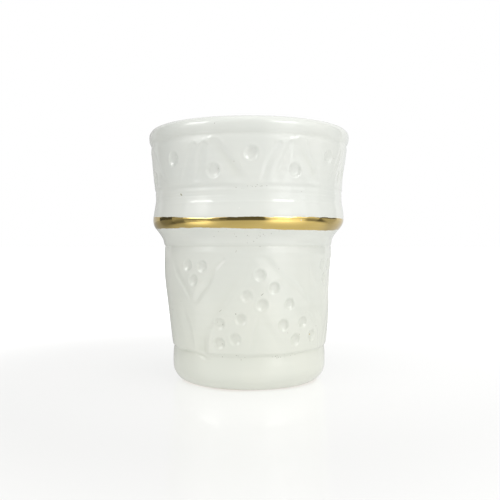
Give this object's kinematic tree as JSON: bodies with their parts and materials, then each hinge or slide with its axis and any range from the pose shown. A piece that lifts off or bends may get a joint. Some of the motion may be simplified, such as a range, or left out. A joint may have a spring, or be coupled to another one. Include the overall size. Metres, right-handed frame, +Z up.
{
  "type": "coffee cup",
  "caption": "Handleless coffee cup with a flared rim and a raised ring under a gold band, white glazed over carved triangles and dots.",
  "frame": {"origin": "centre of the foot ring, on the surface that the cup stands on", "axes": "+Z up along the axis that the cup was thrown on, -Y towards the pictured side"},
  "size_m": [0.062, 0.062, 0.076],
  "materials": {
    "bisque": "matte",
    "white_glaze": "gloss",
    "gold_lustre": "polished"
  },
  "bodies": {
    "root": {"clay_body": "bisque", "outer_glaze": "white_glaze", "inner_glaze": "white_glaze", "foot_glaze": "white_glaze", "gold_band": "gold_lustre"}
  },
  "joints": []
}
